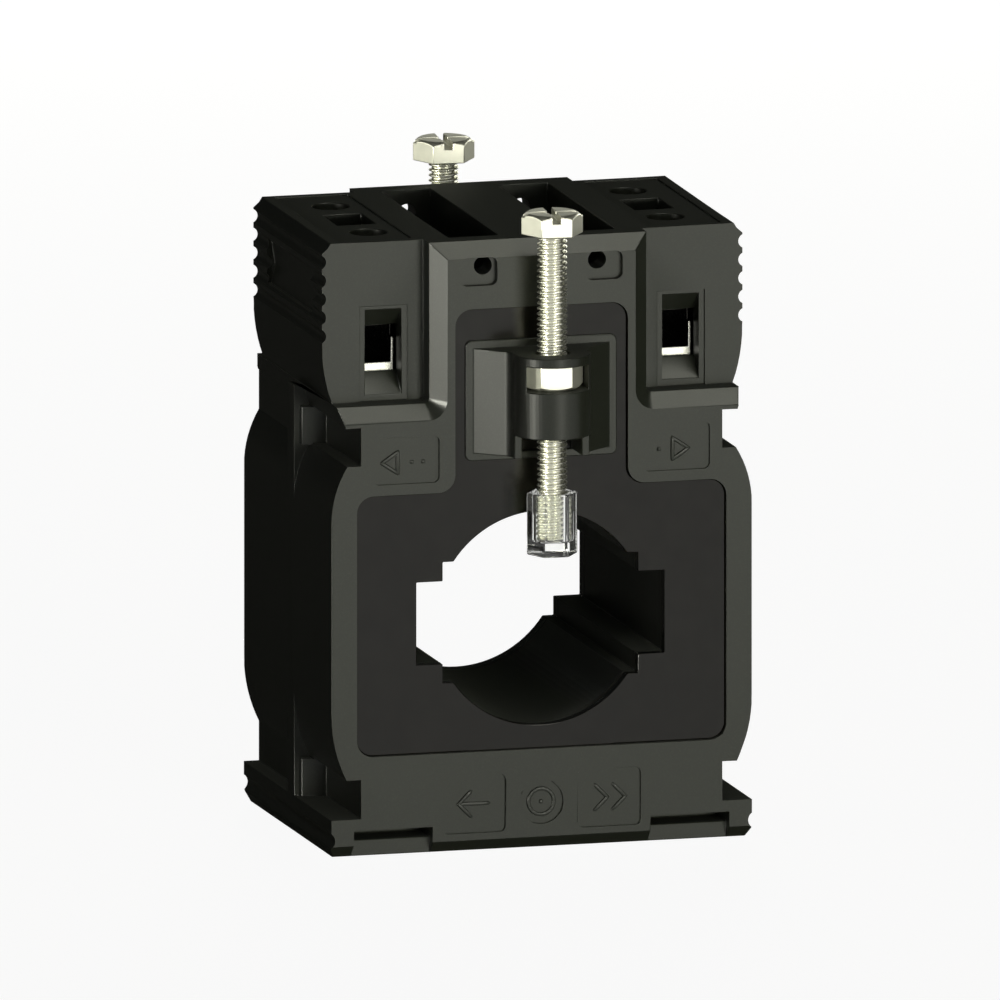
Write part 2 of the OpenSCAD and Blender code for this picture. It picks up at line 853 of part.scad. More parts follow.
module clamp_holder() {
    color(case_colour) difference() {
        union() {
            along_y(-rim_y, -panel_y) difference() {
                translate([0, (holder_low + holder_top) / 2])
                    rounded([holder_w, holder_top - holder_low], holder_r);
                translate([0, (inner_low + inner_top) / 2])
                    square([2 * flare_in, inner_top - inner_low], center = true);
            }
            translate([0, 0, inner_low]) linear_extrude(inner_top - inner_low) wall_outline();
            span([-boss_r, -screw_axis, nose_low], [boss_r, -panel_y, inner_top]);
            translate([0, -screw_axis, nose_low]) cylinder(r = boss_r, h = inner_top - nose_low);
        }
        span([-slot_half, -screw_axis - boss_r - over, nut_z],
            [slot_half, -screw_axis + slot_half, nut_slot_top]);
        translate([0, -screw_axis, nose_low - over])
            cylinder(r = hole_r, h = inner_top - nose_low + 2 * over);
    }
}

// A hexagonal bar whose corners are turned off by a cone at its upper end
module hex_bar(af, h, chamfer) {
    r = af / sqrt(3);
    intersection() {
        rotate([0, 0, hex_turn]) cylinder(r = r, h = h, $fn = 6);
        union() {
            cylinder(r = r + hair, h = h - chamfer);
            translate([0, 0, h - chamfer])
                cylinder(r1 = r + hair, r2 = r - cone_slope * chamfer, h = chamfer);
        }
    }
}

module clamp_nut() {
    color(nickel_colour) translate([0, -screw_axis, nut_z]) difference() {
        translate([0, 0, nut_t]) mirror([0, 0, 1]) hex_bar(hex_af, nut_t, hex_chamfer);
        translate([0, 0, -over]) cylinder(r = nut_bore_r, h = nut_t + 2 * over);
    }
}

module clamp_screw() {
    color(nickel_colour) translate([0, -screw_axis, 0]) difference() {
        union() {
            translate([0, 0, tip_at]) cylinder(r = screw_r, h = screw_l + root);
            translate([0, 0, head_z]) hex_bar(hex_af, head_t, hex_chamfer);
        }
        translate([0, 0, head_z + head_t]) rotate([0, 0, hex_turn]) {
            cube([head_slot[0], 3 * hex_af, 2 * head_slot[1]], center = true);
            cube([3 * hex_af, head_slot[0], 2 * cross_slot], center = true);
        }
    }
}

module clamp_cap() {
    color(clear_colour) translate([0, -screw_axis, cap_low]) difference() {
        rotate([0, 0, hex_turn]) cylinder(r = cap_af / sqrt(3), h = cap_l, $fn = 6);
        translate([0, 0, cap_end]) cylinder(r = cap_bore_r, h = cap_l);
    }
}

// Moves a left piece to the right, or a front piece to the rear
module on_side(right) {
    if (right) children();
    else mirror([1, 0, 0]) children();
}

module at_face(front) {
    if (front) children();
    else rotate([0, 0, 180]) children();
}

front_shell();
rear_shell();
panel();  // front_panel
mirror([0, 1, 0]) panel();  // rear_panel
window_liner();
ring_core();
core_cap();  // core_cap_front
mirror([0, 1, 0]) core_cap();  // core_cap_rear
secondary_winding();
winding_tape();
on_side(false) lead();  // lead_left
on_side(true) lead();  // lead_right
on_side(false) terminal_body();  // terminal_body_left
on_side(true) terminal_body();  // terminal_body_right
on_side(false) terminal_lid();  // terminal_lid_left
on_side(true) terminal_lid();  // terminal_lid_right
on_side(false) terminal_screw();  // terminal_screw_front_left
on_side(true) terminal_screw();  // terminal_screw_front_right
at_face(false) terminal_screw();  // terminal_screw_rear_left
mirror([0, 1, 0]) terminal_screw();  // terminal_screw_rear_right
on_side(false) clamping_plate();  // clamping_plate_front_left
on_side(true) clamping_plate();  // clamping_plate_front_right
at_face(false) clamping_plate();  // clamping_plate_rear_left
mirror([0, 1, 0]) clamping_plate();  // clamping_plate_rear_right
clamp_holder();  // clamp_holder_front
at_face(false) clamp_holder();  // clamp_holder_rear
clamp_nut();  // clamp_nut_front
at_face(false) clamp_nut();  // clamp_nut_rear
clamp_screw();  // clamp_screw_front
at_face(false) clamp_screw();  // clamp_screw_rear
clamp_cap();  // clamp_cap_front
at_face(false) clamp_cap();  // clamp_cap_rear
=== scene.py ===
import json
import math

import bmesh
import bpy
import numpy as np
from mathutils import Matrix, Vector


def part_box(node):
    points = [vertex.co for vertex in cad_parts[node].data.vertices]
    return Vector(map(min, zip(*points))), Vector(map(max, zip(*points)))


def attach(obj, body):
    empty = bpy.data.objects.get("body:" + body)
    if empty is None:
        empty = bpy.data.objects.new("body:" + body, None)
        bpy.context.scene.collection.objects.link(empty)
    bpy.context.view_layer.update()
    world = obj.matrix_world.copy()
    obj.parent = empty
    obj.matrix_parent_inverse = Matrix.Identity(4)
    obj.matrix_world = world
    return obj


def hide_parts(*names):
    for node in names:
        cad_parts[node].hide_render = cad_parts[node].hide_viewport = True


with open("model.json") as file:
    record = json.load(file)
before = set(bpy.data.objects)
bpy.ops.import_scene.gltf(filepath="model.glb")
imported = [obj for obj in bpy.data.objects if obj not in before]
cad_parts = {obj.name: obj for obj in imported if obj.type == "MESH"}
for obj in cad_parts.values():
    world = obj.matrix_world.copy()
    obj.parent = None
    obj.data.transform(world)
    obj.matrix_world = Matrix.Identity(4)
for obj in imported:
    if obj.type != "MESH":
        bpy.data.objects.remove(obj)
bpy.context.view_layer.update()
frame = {"nodes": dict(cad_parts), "record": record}

bl_info = {
    "name": "Window current transformer",
    "version": (1, 0, 0),
    "blender": (4, 5, 0),
    "location": "3D View > Sidebar > Transformer",
    "description": "Finishes the case, clamp screws, terminals and winding of a transformer",
    "category": "Object",
}

MM = 0.001
BODY_OF = {
    node: body
    for body, nodes in frame["record"]["behaviour"]["bodies"].items()
    for node in nodes
}
FACES = ("front", "rear")
SIDES = ("left", "right")
METAL_PIECES = "Metal pieces"

# Edges that turn by more than this aren't smoothed over: on CAD copies, threads and round pieces
SHARP = math.radians(34)
THREAD_SHARP = math.radians(50)
ROUND_SHARP = math.radians(60)


# Sizes and colours

class CaseSettings(bpy.types.PropertyGroup):
    """Finish of the moulded case"""
    colour: bpy.props.FloatVectorProperty(
        name="Case colour", description="Colour of the moulded case",
        subtype="COLOR", size=3, min=0, max=1, default=(0.036, 0.040, 0.029))
    panel_colour: bpy.props.FloatVectorProperty(
        name="Panel colour", description="Colour of the glossy sunk panels",
        subtype="COLOR", size=3, min=0, max=1, default=(0.0150, 0.0135, 0.0088))
    edge: bpy.props.FloatProperty(
        name="Edge radius", description="Radius of the edges that the mould leaves",
        subtype="DISTANCE", unit="LENGTH", min=0, max=0.5 * MM, default=0.13 * MM)
    fine_edge: bpy.props.FloatProperty(
        name="Fine edge radius", description="Radius of the edges of small moulded pieces",
        subtype="DISTANCE", unit="LENGTH", min=0, max=0.3 * MM, default=0.12 * MM)
    grain: bpy.props.FloatProperty(
        name="Grain size", description="Size of the texture that the mould leaves",
        subtype="DISTANCE", unit="LENGTH", min=0.05 * MM, max=1 * MM, default=0.22 * MM)
    roughness: bpy.props.FloatProperty(
        name="Case roughness", description="Roughness of the moulded case",
        subtype="FACTOR", min=0, max=1, default=0.33)
    panel_roughness: bpy.props.FloatProperty(
        name="Panel roughness", description="Roughness of the sunk panels",
        subtype="FACTOR", min=0, max=1, default=0.15)


class MetalSettings(bpy.types.PropertyGroup):
    """Finish and threads of the metal pieces"""
    nickel: bpy.props.FloatVectorProperty(
        name="Nickel colour", description="Colour of the nickel plate on screws and nuts",
        subtype="COLOR", size=3, min=0, max=1, default=(0.78, 0.775, 0.67))
    terminal: bpy.props.FloatVectorProperty(
        name="Terminal colour", description="Colour of the plated terminals",
        subtype="COLOR", size=3, min=0, max=1, default=(0.62, 0.62, 0.55))
    edge: bpy.props.FloatProperty(
        name="Metal edge radius", description="Radius of the metal pieces' edges",
        subtype="DISTANCE", unit="LENGTH", min=0, max=0.3 * MM, default=0.1 * MM)
    clamp_thread: bpy.props.FloatProperty(
        name="Clamp thread", description="Outer diameter of the clamp screws' thread",
        subtype="DISTANCE", unit="LENGTH", min=3 * MM, max=4 * MM, default=3.9 * MM)
    clamp_pitch: bpy.props.FloatProperty(
        name="Clamp pitch", description="Pitch of the clamp screws",
        subtype="DISTANCE", unit="LENGTH", min=0.4 * MM, max=1 * MM, default=0.7 * MM)
    terminal_thread: bpy.props.FloatProperty(
        name="Terminal thread", description="Outer diameter of the terminal screws' thread",
        subtype="DISTANCE", unit="LENGTH", min=2 * MM, max=3 * MM, default=2.9 * MM)
    terminal_pitch: bpy.props.FloatProperty(
        name="Terminal pitch", description="Pitch of the terminal screws",
        subtype="DISTANCE", unit="LENGTH", min=0.3 * MM, max=0.8 * MM, default=0.5 * MM)


class WindingSettings(bpy.types.PropertyGroup):
    """The winding round the core"""
    copper: bpy.props.FloatVectorProperty(
        name="Wire colour", description="Colour of the enamelled wire",
        subtype="COLOR", size=3, min=0, max=1, default=(0.60, 0.24, 0.10))
    film: bpy.props.FloatVectorProperty(
        name="Film colour", description="Colour of the insulating film and caps",
        subtype="COLOR", size=3, min=0, max=1, default=(0.62, 0.50, 0.20))
    turns: bpy.props.IntProperty(
        name="Turns", description="Turns of wire round the core", min=50, max=300, default=180)
    wire: bpy.props.FloatProperty(
        name="Wire thickness", description="Thickness of the layer of wire",
        subtype="DISTANCE", unit="LENGTH", min=0.2 * MM, max=0.8 * MM, default=0.6 * MM)
    split: bpy.props.FloatProperty(
        name="Winding gap", description="Angle without wire at the bottom of the core",
        subtype="ANGLE", min=0, max=math.pi, default=math.radians(26))


class StageSettings(bpy.types.PropertyGroup):
    """Floor, lamps and camera"""
    azimuth: bpy.props.FloatProperty(
        name="Azimuth", description="Angle of the camera round the part, 0 from the front",
        subtype="ANGLE", default=math.radians(-15.4))
    elevation: bpy.props.FloatProperty(
        name="Elevation", description="Angle of the camera above the floor",
        subtype="ANGLE", default=math.radians(10.9))
    distance: bpy.props.FloatProperty(
        name="Distance", description="Distance of the camera from the part",
        subtype="DISTANCE", unit="LENGTH", default=1.43)
    view_width: bpy.props.FloatProperty(
        name="View width", description="Width that the camera sees",
        subtype="DISTANCE", unit="LENGTH", default=128.4 * MM)
    target: bpy.props.FloatVectorProperty(
        name="Target", description="Point at the middle of the picture",
        subtype="TRANSLATION", unit="LENGTH", size=3, default=(0.28 * MM, 0, 41.65 * MM))
    floor: bpy.props.FloatVectorProperty(
        name="Floor colour", description="Colour of the floor",
        subtype="COLOR", size=3, min=0, max=1, default=(0.22, 0.22, 0.22))


GROUPS = (CaseSettings, MetalSettings, WindingSettings, StageSettings)
GROUP_NAMES = ("transformer_case", "transformer_metal", "transformer_winding", "transformer_stage")


# Shader expressions

class Value:
    """One output in a node tree. Operators on it add Math nodes"""

    def __init__(self, tree, socket):
        self.tree = tree
        self.socket = socket

    def __add__(self, other):
        return self.tree.math("ADD", self, other)

    def __sub__(self, other):
        return self.tree.math("SUBTRACT", self, other)

    def __rsub__(self, other):
        return self.tree.math("SUBTRACT", other, self)

    def __mul__(self, other):
        return self.tree.math("MULTIPLY", self, other)

    def __pow__(self, other):
        return self.tree.math("POWER", self, other)


class Tree:
    """A node tree that is filled by expressions"""

    def __init__(self, nodes, links):
        self.nodes = nodes
        self.links = links
        self.nodes.clear()

    def add(self, kind, inputs=(), output=0, **settings):
        """Adds a node of a type, sets it up, then fills its sockets with values or links"""
        node = self.nodes.new(kind)
        for key, value in settings.items():
            setattr(node, key, value)
        for key, value in dict(inputs).items():
            sockets = {s.identifier: s for s in node.inputs}
            socket = sockets[key] if key in sockets else node.inputs[key]
            if isinstance(value, Value):
                self.links.new(value.socket, socket)
            else:
                socket.default_value = value
        return Value(self, node.outputs[output]) if node.outputs else None

    def math(self, operation, *values):
        return self.add("ShaderNodeMath", enumerate(values), operation=operation)

    def clamp(self, value):
        return self.add("ShaderNodeClamp", {"Value": value})

    def mix(self, factor, a, b):
        """A colour between a and b"""
        pairs = {"Factor_Float": factor, "A_Color": a, "B_Color": b}
        colour_result = 2        # the node's outputs share one name
        return self.add("ShaderNodeMix", pairs, output=colour_result, data_type="RGBA")

    def place(self):
        """The place on the piece, in metres"""
        return self.add("ShaderNodeTexCoord", output="Object")

    def axes(self, place):
        """The three parts of a place or a direction"""
        node = self.add("ShaderNodeSeparateXYZ", {"Vector": place}).socket.node
        return [Value(self, s) for s in node.outputs]

    def noise(self, place, size, detail=2.0, roughness=0.5):
        """Noise from 0 to 1 whose grains are about as large as size"""
        inputs = {"Vector": place, "Scale": 1 / size, "Detail": detail, "Roughness": roughness}
        return self.add("ShaderNodeTexNoise", inputs)

    def ramp(self, value, low, high):
        """0 below low and 1 above high, smooth between them"""
        inputs = {"Value": value, "From Min": low, "From Max": high}
        return self.add("ShaderNodeMapRange", inputs, interpolation_type="SMOOTHSTEP")

    def bump(self, height, distance, strength):
        """A normal from a height from 0 to 1 over a distance in metres"""
        inputs = {"Height": height, "Distance": distance, "Strength": strength}
        return self.add("ShaderNodeBump", inputs)


def shade(name, build):
    """The material of a name, built once by a function that gives the shader's sockets"""
    known = bpy.data.materials.get(name)
    if known:
        return known
    material = bpy.data.materials.new(name)
    material.use_nodes = True
    tree = Tree(material.node_tree.nodes, material.node_tree.links)
    shader = tree.add("ShaderNodeBsdfPrincipled", build(tree))
    tree.add("ShaderNodeOutputMaterial", {"Surface": shader})
    return material


def scaled(colour, by=1.0):
    """A colour with its alpha, made darker or lighter"""
    return (*(channel * by for channel in colour), 1.0)


# Materials

def moulded_plastic():
    """Satin plastic with the fine grain of an eroded mould, coarser on top, and flow clouds"""
    case = bpy.context.scene.transformer_case
    grain_swing = 0.16
    cloud_swing = 0.06
    top_rise = 0.35
    least = case.roughness - (grain_swing + cloud_swing) / 2

    def build(t):
        place = t.place()
        up = t.axes(t.add("ShaderNodeNewGeometry", output="True Normal"))[2]
        top = t.ramp(up, 0.75, 0.95)
        grain = t.noise(place, case.grain, detail=3.0, roughness=0.6)
        clouds = t.noise(place, 14 * MM)
        colour = t.mix(clouds, scaled(case.colour, 0.9), scaled(case.colour, 1.1))
        colour = t.mix(t.ramp(grain, 0.45, 0.75), colour, scaled(case.colour, 1.22))
        return {
            "Base Color": colour,
            "Roughness": grain * grain_swing + clouds * cloud_swing + top * top_rise + least,
            "Normal": t.bump(grain, distance=0.006 * MM, strength=0.55),
            "Specular IOR Level": 0.3,
        }
    return shade("Moulded plastic", build)


def glossy_plastic():
    """Polished plastic of the sunk panels, slightly wavy, with soft wipe marks"""
    case = bpy.context.scene.transformer_case

    def build(t):
        place = t.place()
        waves = t.noise(place, 6 * MM, detail=1.0)
        smears = t.noise(place, 2.2 * MM, detail=4.0, roughness=0.65)
        pores = t.noise(place, 0.12 * MM)
        colour = t.mix(waves, scaled(case.panel_colour, 0.85), scaled(case.panel_colour, 1.15))
        return {
            "Base Color": colour,
            "Roughness": (smears - 0.5) * 0.1 + case.panel_roughness,
            "Normal": t.bump(waves * 0.9 + pores * 0.05, distance=0.03 * MM, strength=0.5),
            "Specular IOR Level": 0.28,
        }
    return shade("Glossy plastic", build)


def turned_nickel(name="Turned nickel", share=0.7, roughness=0.28, tone=1.0):
    """Bright nickel plate over turned steel, with fine rings round the upright axis"""
    metal = bpy.context.scene.transformer_metal

    def build(t):
        place = t.place()
        height = t.axes(place)[2]
        rings = t.noise(t.add("ShaderNodeCombineXYZ", {"Z": height}), 0.05 * MM)
        mottle = t.noise(place, 0.9 * MM, detail=3.0)
        colour = t.mix(
            mottle, scaled(metal.nickel, 0.93 * tone), scaled(metal.nickel, 1.04 * tone))
        return {
            "Base Color": colour,
            "Metallic": share,
            "Roughness": rings * 0.1 + mottle * 0.08 + roughness,
            "Normal": t.bump(rings * 0.6 + mottle * 0.4, distance=0.003 * MM, strength=0.4),
        }
    return shade(name, build)


def thread_nickel_painted_shade():
    """The plate on the threads, smoother, and darker all over as painted shade for the thread's
    grooves
    """
    # tone below 1 is painted shade: the whole thread is darkened to stand in for the shade between
    # its flanks
    return turned_nickel("Thread nickel with painted shade", share=0.95, roughness=0.18, tone=0.88)


def stamped_metal():
    """Plated sheet, drawn along the terminals, dull, with painted shade: nearly black behind the
    entries, inside the case
    """
    metal = bpy.context.scene.transformer_metal
    # Painted shade covers the sheet nearer the seam than the first distance and fades out by the
    # second
    painted_shade_to = 12.7 * MM
    painted_shade_ends = 13.05 * MM

    def build(t):
        place = t.place()
        x, y, z = t.axes(place)
        stretched = t.add("ShaderNodeCombineXYZ", {"X": x, "Y": y * 0.05, "Z": z})
        lines = t.noise(stretched, 0.08 * MM, detail=3.0)
        mottle = t.noise(place, 1.3 * MM, detail=3.0)
        plated = t.mix(mottle, scaled(metal.terminal, 0.9), scaled(metal.terminal, 1.03))
        # Painted shade: the sheet goes nearly black where it lies inside the case, behind the
        # entries, where shade falls
        clear_of_painted_shade = t.ramp(t.math("ABSOLUTE", y), painted_shade_to, painted_shade_ends)
        colour = t.mix(clear_of_painted_shade, scaled(metal.terminal, 0.02), plated)
        return {
            "Base Color": colour,
            "Metallic": 1.0,
            "Roughness": lines * 0.14 + mottle * 0.08 + 0.16,
            "Normal": t.bump(lines, distance=0.003 * MM, strength=0.45),
        }
    return shade("Stamped metal", build)


def clear_plastic():
    """Clear plastic of the tip caps, with slight waviness"""

    def build(t):
        waves = t.noise(t.place(), 1.1 * MM)
        return {
            "Base Color": (0.97, 0.98, 0.95, 1),
            "Roughness": waves * 0.06 + 0.02,
            "Transmission Weight": 1.0,
            "IOR": 1.49,
            "Normal": t.bump(waves, distance=0.01 * MM, strength=0.35),
        }
    return shade("Clear plastic", build)


def core_height():
    """Height of the core's axis, which is also the window's"""
    low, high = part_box("ring_core")
    return (low.z + high.z) / 2


def wound_strip():
    """Edges of the strip that the core is wound from, as rings about the window's axis"""
    centre = core_height()
    strip = 0.15 * MM

    def build(t):
        place = t.place()
        x, _, z = t.axes(place)
        radius = t.math("SQRT", x * x + (z - centre) ** 2)
        layers = t.math("SINE", radius * (2 * math.pi / strip)) * 0.5 + 0.5
        mottle = t.noise(place, 1.5 * MM, detail=3.0)
        colour = t.mix(layers, (0.20, 0.205, 0.21, 1), (0.42, 0.43, 0.44, 1))
        return {
            "Base Color": colour,
            "Metallic": 0.9,
            "Roughness": mottle * 0.2 + 0.3,
            "Normal": t.bump(layers, distance=0.02 * MM, strength=0.6),
        }
    return shade("Wound strip", build)


def film():
    """Insulating film, wound on in overlapping wraps"""
    winding = bpy.context.scene.transformer_winding
    centre = core_height()
    wraps = 36
    wraps_per_metre = 60

    def build(t):
        place = t.place()
        x, y, z = t.axes(place)
        angle = t.math("ARCTAN2", x, z - centre)
        lap = t.math("FRACT", angle * (wraps / (2 * math.pi)) + y * wraps_per_metre)
        mottle = t.noise(place, 2 * MM, detail=3.0)
        colour = t.mix(lap, scaled(winding.film, 0.8), scaled(winding.film, 1.08))
        return {
            "Base Color": colour,
            "Roughness": mottle * 0.2 + 0.25,
            "Normal": t.bump(lap, distance=0.05 * MM, strength=0.5),
        }
    return shade("Film", build)


def enamelled_wire():
    """Copper wire under clear enamel"""
    winding = bpy.context.scene.transformer_winding

    def build(t):
        mottle = t.noise(t.place(), 0.8 * MM, detail=3.0)
        colour = t.mix(mottle, scaled(winding.copper, 0.8), scaled(winding.copper, 1.1))
        return {
            "Base Color": colour,
            "Metallic": 0.85,
            "Roughness": mottle * 0.15 + 0.25,
            "Normal": t.bump(mottle, distance=0.01 * MM, strength=0.4),
            "Coat Weight": 0.7,
        }
    return shade("Enamelled wire", build)


# Meshes

def linked(name, data):
    """An object in the scene with a mesh, a lamp or a camera as its data"""
    thing = bpy.data.objects.new(name, data)
    bpy.context.scene.collection.objects.link(thing)
    return thing


def weld(bm, gap, sliver):
    """Joins points that lie closer than a gap and takes out what is thinner than a sliver"""
    bmesh.ops.remove_doubles(bm, verts=bm.verts, dist=gap)
    bmesh.ops.dissolve_degenerate(bm, edges=bm.edges, dist=sliver)


def close_holes(bm):
    """Puts a face in each open rim"""
    rims = [e for e in bm.edges if e.is_boundary]
    if rims:
        bmesh.ops.holes_fill(bm, edges=rims, sides=0)


def new_piece(name, points, faces, material):
    """A piece from points in metres and faces, with its seams closed and its faces outwards"""
    mesh = bpy.data.meshes.new(name)
    mesh.from_pydata(points.tolist(), [], faces.tolist())
    bm = bmesh.new()
    bm.from_mesh(mesh)
    weld(bm, gap=0.0005 * MM, sliver=0.0002 * MM)
    close_holes(bm)
    bmesh.ops.recalc_face_normals(bm, faces=bm.faces)
    bm.to_mesh(mesh)
    bm.free()
    mesh.materials.append(material)
    return linked(name, mesh)


def grid_faces(rows, columns, shift=0):
    """Four-sided faces of a grid whose columns close on themselves, shift rows further on"""
    row, column = np.meshgrid(np.arange(rows - 1), np.arange(columns), indexing="ij")
    wrap = (column + 1) // columns
    across = (column + 1) % columns
    corners = np.stack([
        row * columns + column,
        (row + wrap * shift) * columns + across,
        (row + 1 + wrap * shift) * columns + across,
        (row + 1) * columns + column,
    ], axis=-1).reshape(-1, 4)
    return corners[corners.max(axis=1) < rows * columns]


def smooth(piece, angle):
    """Smooth shading, apart from edges that turn by more than an angle"""
    mesh = piece.data
    mesh.polygons.foreach_set("use_smooth", np.ones(len(mesh.polygons), dtype=bool))
    mesh.set_sharp_from_angle(angle=angle)
    return piece


def joined_triangles(node):
    """The mesh of a CAD node with its triangles joined and its flat faces made whole"""
    bm = bmesh.new()
    bm.from_mesh(frame["nodes"][node].data)
    weld(bm, gap=0.001 * MM, sliver=0.0005 * MM)
    flat = math.radians(0.4)
    bmesh.ops.dissolve_limit(
        bm, angle_limit=flat, verts=bm.verts, edges=bm.edges, delimit=set())
    return bm


def weigh_edges(bm, edge, crowded):
    """Marks the sharp edges that are rounded, apart from those in the plane of the case's seam.

    Where a mesh is crowded, an edge with short neighbours gets only a share of the radius.
    """
    weights = bm.edges.layers.float.new("bevel_weight_edge")
    seam_reach = 0.02 * MM
    aligned = 0.9        # cosine of the angle between neighbours that run on into each other
    share = 0.45
    for e in bm.edges:
        seam = all(abs(v.co.y) < seam_reach for v in e.verts)
        if seam or e.calc_face_angle(0) < SHARP:
            continue
        along = (e.verts[0].co - e.verts[1].co).normalized()
        room = edge
        for v in e.verts if crowded else ():
            for other in v.link_edges:
                step = other.verts[0].co - other.verts[1].co
                if other is not e and abs(step.normalized().dot(along)) < aligned:
                    room = min(room, share * step.length)
        e[weights] = room / edge


def finished_copy(node, name, material, edge, above=None, crowded=False):
    """A copy of a CAD node with its edges rounded. It is cut off at a height if above is given"""
    bm = joined_triangles(node)
    if above is not None:
        everything = bm.verts[:] + bm.edges[:] + bm.faces[:]
        bmesh.ops.bisect_plane(
            bm, geom=everything, plane_co=(0, 0, above), plane_no=(0, 0, 1), clear_inner=True)
        close_holes(bm)
    weigh_edges(bm, edge, crowded)
    mesh = bpy.data.meshes.new(name)
    bm.to_mesh(mesh)
    bm.free()
    mesh.materials.append(material)
    piece = smooth(linked(name, mesh), SHARP)
    bevel = piece.modifiers.new("Edges", "BEVEL")
    bevel.width = edge
    bevel.segments = 2
    bevel.limit_method = "WEIGHT"
    bevel.use_clamp_overlap = False
    bevel.offset_type = "ABSOLUTE" if crowded else "OFFSET"
    flat = piece.modifiers.new("Flat faces", "WEIGHTED_NORMAL")
    flat.weight = 100
    flat.keep_sharp = True
    return piece


def stand_for(piece, *nodes):
    """Puts a piece in the place of CAD nodes, on their body, and hides the nodes"""
    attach(piece, BODY_OF[nodes[0]])
    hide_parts(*nodes)
    return piece


def finish_node(node, name, material, edge, crowded=False):
    """Puts a finished copy of a CAD node in its place"""
    return stand_for(finished_copy(node, name, material, edge, crowded=crowded), node)


def show_cards_in(piece):
    """Lets the cards that are kept for bright metal show in a piece"""
    bpy.data.collections[METAL_PIECES].objects.link(piece)


def repaint(node, material):
    """Gives a CAD node that keeps its shape its finish"""
    for place in frame["nodes"][node].material_slots:
        place.material = material


def thread_surface(name, x, y, low, high, diameter, pitch, material):
    """An outside thread about an upright axis, from low to high.

    The grid's rows follow the helix: row i and column j lie at height
    low + pitch * (i / per_pitch + j / columns - 1), and the radius repeats with i over one pitch,
    from the crest down a flank to the root and up the other flank. The thread fades near both
    ends, and a cone takes off the crests near the lower one. Heights past an end are moved to it,
    where the surface is closed by a disc.
    """
    profile = np.array([1.0, 0.93, 0.5, 0.07, 0.0, 0.07, 0.5, 0.93])
    depth_of_pitch = 0.6134
    fade = 0.05 * pitch
    tip_step = 0.2 * MM
    cone_slope = 1.2
    columns = 48
    per_pitch = len(profile)
    depth = depth_of_pitch * pitch
    minor = diameter / 2 - depth
    rows = int(math.ceil((high - low) / pitch) + 2) * per_pitch
    row, column = np.meshgrid(np.arange(rows), np.arange(columns), indexing="ij")
    height = low + pitch * (row / per_pitch + column / columns - 1)
    ends = np.clip(height, low, high)
    inside = 1 - np.clip(np.abs(height - ends) / fade, 0, 1)
    cone = minor - tip_step + (ends - low) * cone_slope
    radius = minor + depth * profile[row % per_pitch] * inside
    radius = np.minimum(radius, cone)
    angle = 2 * math.pi * column / columns
    points = np.stack([x + radius * np.cos(angle), y + radius * np.sin(angle), ends], axis=-1)
    faces = grid_faces(rows, columns, per_pitch)
    return new_piece(name, points.reshape(-1, 3), faces, material)


def rounded_body(size):
    """Points and faces of a closed body between a box and an ellipsoid.

    Each point is size / 2 * (s(cos v) * s(cos u), s(cos v) * s(sin u), s(sin v)), where s keeps
    the sign and raises to 2 / power, u goes once round and v from pole to pole.
    """
    power = 4
    rows = 13
    columns = 24
    v, u = np.meshgrid(
        np.linspace(-math.pi / 2, math.pi / 2, rows),
        np.linspace(0, 2 * math.pi, columns, endpoint=False), indexing="ij")

    def s(value):
        return np.sign(value) * np.abs(value) ** (2 / power)

    level = s(np.cos(v))
    shape = np.stack([level * s(np.cos(u)), level * s(np.sin(u)), s(np.sin(v))], axis=-1)
    points = np.array(size) / 2 * shape
    return points.reshape(-1, 3), grid_faces(rows, columns)


def joined(shapes):
    """The points and faces of several shapes as one"""
    starts = np.cumsum([0] + [len(points) for points, _ in shapes[:-1]])
    points = np.concatenate([points for points, _ in shapes])
    faces = np.concatenate([faces + start for (_, faces), start in zip(shapes, starts)])
    return points, faces


def merge_into(piece, other):
    """Adds another object's mesh, with its modifiers, to a piece and removes the other object"""
    graph = bpy.context.evaluated_depsgraph_get()
    bm = bmesh.new()
    for source in (piece, other):
        mesh = bpy.data.meshes.new_from_object(source.evaluated_get(graph))
        bm.from_mesh(mesh)
        bpy.data.meshes.remove(mesh)
    piece.modifiers.clear()
    bm.to_mesh(piece.data)
    bm.free()
    bpy.data.objects.remove(other)
    return piece


# Pieces

class PieceOperator(bpy.types.Operator):
    """Base of the operators that finish pieces"""
    bl_options = {"REGISTER", "UNDO"}

    def execute(self, context):
        self.build(context.scene)
        return {"FINISHED"}


class TRANSFORMER_OT_case(PieceOperator):
    """Finishes the two halves of the case"""
    bl_idname = "transformer.case"
    bl_label = "Case halves"

    def build(self, scene):
        edge = scene.transformer_case.edge
        for face in FACES:
            finish_node(f"{face}_shell", f"case_{face}", moulded_plastic(), edge, crowded=True)


class TRANSFORMER_OT_panels(PieceOperator):
    """Finishes the sunk panels round the window"""
    bl_idname = "transformer.panels"
    bl_label = "Sunk panels"

    def build(self, scene):
        edge = scene.transformer_case.fine_edge
        for face in FACES:
            finish_node(f"{face}_panel", f"panel_{face}", glossy_plastic(), edge)


class TRANSFORMER_OT_tube(PieceOperator):
    """Finishes the stepped tube that lines the window"""
    bl_idname = "transformer.tube"
    bl_label = "Window tube"

    def build(self, scene):
        edge = scene.transformer_case.fine_edge
        finish_node("window_liner", "window_tube", moulded_plastic(), edge)


class TRANSFORMER_OT_lids(PieceOperator):
    """Finishes the lids of the terminal blocks"""
    bl_idname = "transformer.lids"
    bl_label = "Terminal lids"

    def build(self, scene):
        edge = scene.transformer_case.fine_edge
        for side in SIDES:
            finish_node(f"terminal_lid_{side}", f"lid_{side}", moulded_plastic(), edge)


